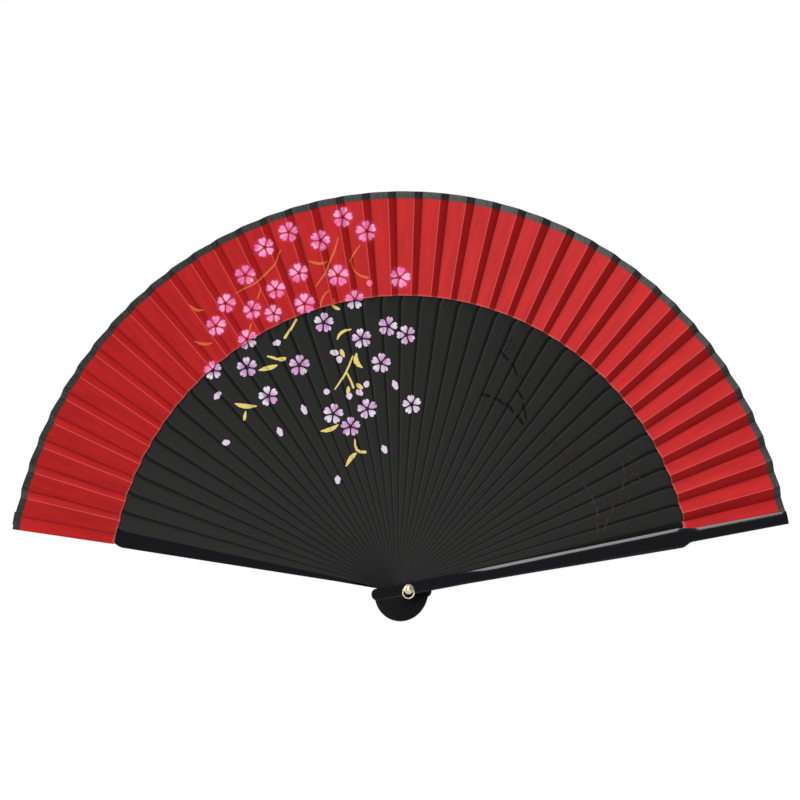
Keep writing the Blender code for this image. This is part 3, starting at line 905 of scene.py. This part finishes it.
def dyed_silk():
    made = new_material("dyed_silk")
    tree = made.node_tree
    place = add(tree, "Attribute", attribute_name="place_mm").outputs["Vector"]
    stick = add(tree, "Attribute", attribute_name="stick_mm").outputs["Vector"]
    fold = add(tree, "Attribute", attribute_name="fold_mm").outputs["Vector"]
    fold = add(tree, "SeparateXYZ", (fold,))

    slub_place = add(tree, "VectorMath", (stick, (0.05, 1.6, 1.0)), operation="MULTIPLY")
    slub = add(
        tree, "TexNoise",
        {"Vector": slub_place, "Scale": 1.0, "Detail": 4.0, "Roughness": 0.6},
    )
    streak = add(tree, "MapRange", {0: slub, 1: 0.3, 2: 0.7})
    red = add(tree, "Mix", {0: streak, 6: colour("951213"), 7: colour("A61B1B")}, data_type="RGBA")
    dye_place = add(tree, "VectorMath", (stick, (0.04, 0.25, 1.0)), operation="MULTIPLY")
    dye = add(tree, "TexNoise", {"Vector": dye_place, "Scale": 1.0, "Detail": 2.0})
    dye = add(tree, "MapRange", {0: dye, 1: 0.35, 2: 0.65, 4: 0.5})
    red = add(tree, "Mix", {0: dye, 6: red.outputs[2], 7: colour("841014")}, data_type="RGBA")

    # Painted shade: the glued panels are darkened, more of it towards the front guard
    pleat_shade = add(tree, "SeparateXYZ", (stick,)).outputs["Z"]
    pleat_shade = add(tree, "MapRange", {0: pleat_shade, 1: PLEAT_SHADE_FROM, 2: PLEAT_SHADE_TO, 3: 0.15, 4: 0.5})
    glued = add(tree, "Math", (fold.outputs["Z"], pleat_shade), operation="MULTIPLY")
    red = add(tree, "Mix", {0: glued, 6: red.outputs[2], 7: colour("640203")}, data_type="RGBA")
    # Painted highlight: a pale line along each ridge
    ridge = add(tree, "MapRange", {0: fold.outputs["X"], 1: 0.1, 2: 0.35, 3: 0.5, 4: 0.0})
    red = add(tree, "Mix", {0: ridge, 6: red.outputs[2], 7: colour("C05450")}, data_type="RGBA")
    # Painted shade: a dark line along each valley
    valley = add(tree, "MapRange", {0: fold.outputs["Y"], 1: 0.1, 2: 0.8, 3: 0.45, 4: 0.0})
    red = add(tree, "Mix", {0: valley, 6: red.outputs[2], 7: colour("480204")}, data_type="RGBA")

    along = add(tree, "SeparateXYZ", (stick,)).outputs["X"]
    selvedge = add(tree, "MapRange", {0: along, 1: 145.3, 2: 145.8, 3: 0.35, 4: 0.0})
    red = add(tree, "Mix", {0: selvedge, 6: red.outputs[2], 7: colour("A85A58")}, data_type="RGBA")

    inside, _, radius = blossom_nodes(tree, place)
    halo = add(
        tree, "MapRange", {0: radius, 1: 0.8, 2: 1.3, 3: 0.38, 4: 0.0},
        interpolation_type="SMOOTHSTEP",
    )
    core = add(tree, "MapRange", {0: radius, 1: 0.15, 2: 0.75, 3: 0.0, 4: 1.0})
    halo = add(tree, "Math", (halo, core), operation="MULTIPLY")
    body = add(tree, "Mix", {0: halo, 6: red.outputs[2], 7: colour("A83058")}, data_type="RGBA")
    petal = add(
        tree, "MapRange", {0: inside, 1: -0.22, 2: 0.42}, interpolation_type="SMOOTHSTEP"
    )
    shade = add(tree, "TexNoise", {"Vector": place, "Scale": 0.2, "Detail": 1.0})
    shade = add(tree, "MapRange", {0: shade, 1: 0.38, 2: 0.62})
    pink = add(tree, "Mix", {0: shade, 6: colour("D58CAE"), 7: colour("C05C8A")}, data_type="RGBA")
    body = add(tree, "Mix", {0: petal, 6: body.outputs[2], 7: pink.outputs[2]}, data_type="RGBA")
    heart = add(tree, "MapRange", {0: radius, 1: 0.06, 2: 0.2, 3: 0.8, 4: 0.0})
    body = add(tree, "Mix", {0: heart, 6: body.outputs[2], 7: colour("5E0814")}, data_type="RGBA")
    gilt, white, _, _ = stroke_nodes(tree, place, 0.16)
    body = add(tree, "Mix", {0: white, 6: body.outputs[2], 7: colour("C8607C")}, data_type="RGBA")
    gilt = add(tree, "Math", (gilt, 0.8), operation="MULTIPLY")
    body = add(tree, "Mix", {0: gilt, 6: body.outputs[2], 7: colour("B0602E")}, data_type="RGBA")

    warp = add(tree, "VectorMath", (stick, (1.1, 1.1, 0.0)), operation="MULTIPLY")
    warp = add(
        tree, "TexWave", {"Vector": warp, "Scale": 1.0, "Distortion": 0.4}, bands_direction="Y"
    )
    height = add(tree, "Math", (warp, 0.3, slub), operation="MULTIPLY_ADD")
    bump = add(tree, "Bump", {"Strength": 0.3, "Distance": 0.00006, "Height": height})
    shader = add(tree, "BsdfPrincipled", {
        "Base Color": body.outputs[2], "Roughness": 0.55, "Normal": bump,
        "Sheen Weight": 0.03, "Sheen Roughness": 0.35, "Sheen Tint": colour("FFB0AC"),
        "Specular IOR Level": 0.1,
    })
    add(tree, "OutputMaterial", (shader,))
    return made


silk = dyed_silk()
print("silk nodes:", len(silk.node_tree.nodes))

# %% [markdown]
# ## The satin ribbon
#
# The leaf's rim is bound with a narrow black satin ribbon, folded over it and glued. Its threads
# run across the fold. Real threads are too fine to show in a render, so they are drawn as faint
# grey streaks about a millimetre apart.

# %% The ribbon's material: black, with a soft shine across its threads
def satin_ribbon():
    made = new_material("satin_ribbon")
    tree = made.node_tree
    stick = add(tree, "Attribute", attribute_name="stick_mm").outputs["Vector"]
    thread_place = add(tree, "VectorMath", (stick, (0.3, 1.2, 1.0)), operation="MULTIPLY")
    thread = add(tree, "TexNoise", {"Vector": thread_place, "Scale": 1.0, "Detail": 3.0})
    streak = add(tree, "MapRange", {0: thread, 1: 0.35, 2: 0.65})
    black = add(
        tree, "Mix", {0: streak, 6: colour("141413"), 7: colour("2E2E2C")}, data_type="RGBA"
    )
    bump = add(tree, "Bump", {"Strength": 0.4, "Distance": 0.00006, "Height": thread})
    shader = add(tree, "BsdfPrincipled", {
        "Base Color": black.outputs[2], "Roughness": 0.5, "Normal": bump,
        "Sheen Weight": 0.04, "Sheen Roughness": 0.3, "Specular IOR Level": 0.25,
    })
    add(tree, "OutputMaterial", (shader,))
    return made


satin = satin_ribbon()

print("satin nodes:", len(satin.node_tree.nodes))

# %% [markdown]
# ## One gore
#
# Seen along a radius, a gore is a zigzag of two or three straight runs between folds. Cloth
# simulation could press the pleats, but their folds are known, so a grid is laid over them. Its
# columns stand close together near the folds, and a slight bulge between them keeps the panels
# from looking like tin.

# %% The fold lines of one gore, as (angle, depth at the rivet's side, share of the pleat's depth)
FIRST_GLUE = math.radians(1.45)     # how far the leaf's first edge laps the rear guard
BULGE = 0.0009                      # of the radius


def valley_after(number):
    return (stick_angle(number) - glued_half(number), leaf_level(number), 0.0)


def ridge_before(number):
    return (stick_angle(number) + glued_half(number), leaf_level(number), 1.0)


def gore_folds(number):
    folds = [valley_after(number - 1), ridge_before(number)]
    if number == 1:
        folds.insert(0, (stick_angle(0) + FIRST_GLUE, leaf_level(0), 0.0))
    if number == LAST:
        folds.append((stick_angle(LAST), leaf_level(LAST), 1.0))
    else:
        folds.append(valley_after(number))
    return folds


SHARES = (0.0, 0.03, 0.10, 0.22, 0.36, 0.50, 0.64, 0.78, 0.90, 0.97)


def gore_columns(number):
    """Across a gore: (angle, level, pleat share, bulge) of each column of points."""
    folds = gore_folds(number)
    columns = []
    for (a0, y0, d0), (a1, y1, d1) in zip(folds, folds[1:]):
        for share in SHARES:
            columns.append((
                a0 + (a1 - a0) * share, y0 + (y1 - y0) * share, d0 + (d1 - d0) * share,
                math.sin(math.pi * share) * (1 if d1 > d0 else -1),
            ))
    columns.append((*folds[-1], 0.0))
    return columns


def sheet_point(column, radius, lift=0.0):
    """A point of the leaf; lift moves it towards the front."""
    angle, level, pleat, bulge = column
    depth = level - pleat * PLEAT_DEPTH * radius + bulge * BULGE * radius - lift
    return Vector((radius * math.cos(angle), depth, radius * math.sin(angle))) * MM


print("gore 20 has", len(gore_columns(20)), "columns")


# %% One gore of silk
def fold_distances(number, points):
    """Distances from the nearest ridge and valley, in millimetres, and 1 on the glued panel."""
    angle = np.arctan2(points[:, 2], points[:, 0])
    radius = np.hypot(points[:, 0], points[:, 2])
    ridge = np.full(len(points), 9.0)
    valley = np.full(len(points), 9.0)
    glued = (angle < ridge_before(number)[0] + 1e-5).astype(float)
    for fold_angle, _, share in gore_folds(number)[1 if number == 1 else 0:]:
        if number == LAST and fold_angle == stick_angle(LAST):
            continue
        gap = np.abs(angle - fold_angle) * radius
        if share > 0.5:
            ridge = np.minimum(ridge, gap)
        else:
            valley = np.minimum(valley, gap)
    return np.stack([ridge, valley, glued], 1)


def cloth_grid(number, name, rows, finish, place_row):
    """A grid over a gore's columns, with each row placed by place_row(column, row)."""
    columns = gore_columns(number)
    bm = bmesh.new()
    bmesh.ops.create_grid(bm, x_segments=len(columns) - 1, y_segments=rows - 1, size=0.5)
    for vert in bm.verts:
        column = columns[round((vert.co.x + 0.5) * (len(columns) - 1))]
        vert.co = place_row(column, round((vert.co.y + 0.5) * (rows - 1)))
    return finish_mesh(bm, name, Matrix.Identity(4), finish)


def sheet_area(obj):
    return sum(face.area for face in obj.data.polygons)


def bend_with_ribs(obj):
    """Bakes a gore's placement into its mesh."""
    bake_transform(obj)


# %% [markdown]
# ## The whole leaf and its rim
#
# Silk and ribbon are laid out gore by gore over the same folds. Each is first a single sheet, which
# is measured, and is given its thickness afterwards.

# %% Lay out the silk and the ribbon
LEAF_ROWS = 42
LAST_START = 0.8                # the last gore starts lower, where the guard covers its corner
SILK_THICK, RIBBON_THICK = 0.12, 0.08


def leaf_row(number, row):
    """The radius of a row of the silk."""
    inner = LEAF_INNER - (LAST_START if number == LAST else 0.0)
    return inner + (LEAF_OUTER - inner) * row / (LEAF_ROWS - 1)


# The ribbon's path over the rim: the radius, and how far behind the silk it lies
RIM_PATH = [
    (RIM_INNER, -0.14), (194.2, -0.14), (195.2, -0.14), (196.2, -0.14), (196.65, -0.10),
    (RIM_OUTER, 0.0),
    (196.65, 0.10), (196.2, 0.14), (195.2, 0.14), (194.2, 0.14), (RIM_INNER, 0.14),
]
gores, rims = [], []
for number in range(1, LAST + 1):
    gore = cloth_grid(
        number, f"silk_gore_{number:02d}", LEAF_ROWS, silk,
        lambda column, row: sheet_point(column, leaf_row(number, row)),
    )
    rim = cloth_grid(
        number, f"satin_rim_{number:02d}", len(RIM_PATH), satin,
        lambda column, row: sheet_point(column, RIM_PATH[row][0], -RIM_PATH[row][1]),
    )
    gores.append(gore)
    rims.append(rim)
print("area of gore 20:", round(sheet_area(gores[19]) * 1e6), "mm2")

# %% Give the cloth its thickness, its painting and its folds
for number, (gore, rim) in enumerate(zip(gores, rims), 1):
    for cloth, thick in ((gore, SILK_THICK), (rim, RIBBON_THICK)):
        bm = bmesh.new()
        bm.from_mesh(cloth.data)
        bmesh.ops.recalc_face_normals(bm, faces=bm.faces)
        if sum(face.normal.y for face in bm.faces) > 0 and cloth is gore:
            bmesh.ops.reverse_faces(bm, faces=bm.faces)
        bmesh.ops.solidify(bm, geom=bm.faces[:], thickness=thick * MM)
        bm.to_mesh(cloth.data)
        bm.free()
        prepare_painting(cloth, number)
        points = read(cloth.data.attributes["place_mm"].data, "vector")
        store(cloth.data, "fold_mm", "FLOAT_VECTOR", "POINT", fold_distances(number, points))
        cloth.data.shade_smooth()
        cloth.data.set_sharp_from_angle(angle=math.radians(25))
        bend_with_ribs(cloth)
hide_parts("silk_leaf")
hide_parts("edge_binding")

# %% [markdown]
# ## Brass and plated wire
#
# The rivet is bare pale brass and the ring is plated wire. Both have been handled: fine wear,
# about a millimetre across, breaks the polish into brighter and duller spots. A metal takes its
# colour from its reflections, so the base colour is bright and roughness does the rest.

# %% Pale brass, turned and a little rubbed; and plated wire
def rubbed_metal(name, bright, dark, rough):
    made = new_material(name)
    tree = made.node_tree
    place = add(tree, "TexCoord").outputs["Object"]
    wear = add(tree, "TexNoise", {"Vector": place, "Scale": 900.0, "Detail": 4.0})
    share = add(tree, "MapRange", {0: wear, 1: 0.35, 2: 0.7})
    tone = add(tree, "Mix", {0: share, 6: colour(bright), 7: colour(dark)}, data_type="RGBA")
    dull = add(tree, "MapRange", {0: wear, 1: 0.3, 2: 0.7, 3: rough, 4: rough + 0.15})
    bump = add(tree, "Bump", {"Strength": 0.2, "Distance": 0.00003, "Height": wear})
    shader = add(tree, "BsdfPrincipled", {
        "Base Color": tone.outputs[2], "Metallic": 1.0, "Roughness": dull, "Normal": bump,
    })
    add(tree, "OutputMaterial", (shader,))
    return made


brass = rubbed_metal("pale_brass", "F0E4C8", "D2BE92", 0.3)
wire = rubbed_metal("plated_wire", "F2ECDD", "CFC4A8", 0.38)
print("metals:", brass.name, wire.name)

# %% [markdown]
# ## The rivet
#
# The rivet is a pin with a low domed head, a washer on each side and a cap behind. Cylinders and
# spheres could be put together, but each piece is a profile spun round the rivet's axis instead,
# which is how it is turned on a lathe, and it gives the fillets for nothing.

# %% Turned pieces: the profile's second number is how far in front of the fan's middle it lies
PIN_RADIUS, BORE = 0.75, 0.95
HEAD_RADIUS, HEAD_HEIGHT = 1.5, 0.9
WASHER_RADIUS, WASHER_THICKNESS = 2.45, 0.4
WIRE_RADIUS, RING_RADIUS = 0.33, 2.85
PLAY = 0.15                     # between any two pieces on the pin, mm


def spun(name, profile, finish, node, closed=False):
    bm = bmesh.new()
    verts = [bm.verts.new((radius, -front, 0.0)) for radius, front in profile]
    edges = [bm.edges.new(pair) for pair in zip(verts, verts[1:] + verts[:1 if closed else 0])]
    bmesh.ops.spin(
        bm, geom=verts + edges, cent=(0, 0, 0), axis=(0, 1, 0), angle=math.tau, steps=40,
        use_merge=True,
    )
    bmesh.ops.remove_doubles(bm, verts=bm.verts, dist=0.001)
    bmesh.ops.recalc_face_normals(bm, faces=bm.faces)
    obj = finish_mesh(bm, name, Matrix.Scale(MM, 4), finish)
    obj.data.shade_smooth()
    obj.data.set_sharp_from_angle(angle=math.radians(35))
    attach(obj, "base")
    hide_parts(node)
    return obj


def crown(base, steps=8):
    turns = [math.pi / 2 * i / steps for i in range(steps + 1)]
    return [(HEAD_RADIUS * math.sin(t), base + HEAD_HEIGHT * math.cos(t)) for t in turns]


def washer(top):
    low, fillet, round_in = top - WASHER_THICKNESS, 0.1, 0.03
    return [
        (BORE, low), (BORE, top), (WASHER_RADIUS - fillet, top),
        (WASHER_RADIUS - round_in, top - round_in), (WASHER_RADIUS, top - fillet),
        (WASHER_RADIUS, low + fillet), (WASHER_RADIUS - round_in, low + round_in),
        (WASHER_RADIUS - fillet, low),
    ]


# %% The rivet's pieces, from the front to the back
PIN_IN_CAP, CAP_HOLLOW = 0.3, 0.45      # how deep the pin's end and the cap's hollow reach

guard_front = REAR_FACE + GUARD_THICKNESS
ring_level = guard_front + PLAY + WIRE_RADIUS
washer_top = guard_front + PLAY + 2 * WIRE_RADIUS + PLAY + WASHER_THICKNESS
head_base = washer_top + PLAY
rear_top = -(guard_front + PLAY)
cap_top = rear_top - WASHER_THICKNESS - PLAY
pin_end = cap_top - PIN_IN_CAP
pin = crown(head_base) + [(PIN_RADIUS, head_base), (PIN_RADIUS, pin_end), (0.0, pin_end)]
spun("brass_rivet", pin, brass, "rivet_pin")
spun("brass_front_washer", washer(washer_top), brass, "front_washer", closed=True)
spun("brass_rear_washer", washer(rear_top), brass, "rear_washer", closed=True)
dome = [(radius, 2 * cap_top - level) for radius, level in crown(cap_top)]
hollow = cap_top - CAP_HOLLOW
cap = [(0.0, hollow), (BORE, hollow), (BORE, cap_top)] + dome[::-1]
spun("brass_rivet_cap", cap, brass, "rivet_cap")
print("rivet:", round(head_base + HEAD_HEIGHT - cap_top, 1), "mm long over its head")

# %% [markdown]
# ## The jump ring
#
# A small ring of plated wire hangs on the pin, ready for a tassel's cord. A torus would be
# closed, and a real jump ring is cut, so a small disc is spun nearly all the way round instead,
# and its two cut ends almost meet.

# %% A round wire bent into a circle
OPENING = 3.0                   # degrees between the cut ends
bm = bmesh.new()
bmesh.ops.create_circle(bm, segments=14, radius=WIRE_RADIUS, cap_ends=True)
bmesh.ops.translate(bm, verts=bm.verts, vec=(RING_RADIUS, 0.0, 0.0))
first_turn = Matrix.Rotation(math.radians(90 + OPENING / 2), 3, "Y")
bmesh.ops.rotate(bm, verts=bm.verts, cent=(0, 0, 0), matrix=first_turn)
bmesh.ops.spin(
    bm, geom=bm.verts[:] + bm.edges[:] + bm.faces[:], cent=(0, 0, 0), axis=(0, 1, 0),
    angle=math.radians(360 - OPENING), steps=56,
)
bmesh.ops.recalc_face_normals(bm, faces=bm.faces)
hang = RING_RADIUS - WIRE_RADIUS - PIN_RADIUS - 0.05
bmesh.ops.translate(bm, verts=bm.verts, vec=(0.0, -ring_level, -hang))
ring = finish_mesh(bm, "plated_jump_ring", Matrix.Scale(MM, 4), wire)
ring.data.shade_smooth()
ring.data.set_sharp_from_angle(angle=math.radians(40))
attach(ring, "tassel_ring")
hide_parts("tassel_ring")
print("ring hangs", round(hang, 2), "mm below the rivet's axis")
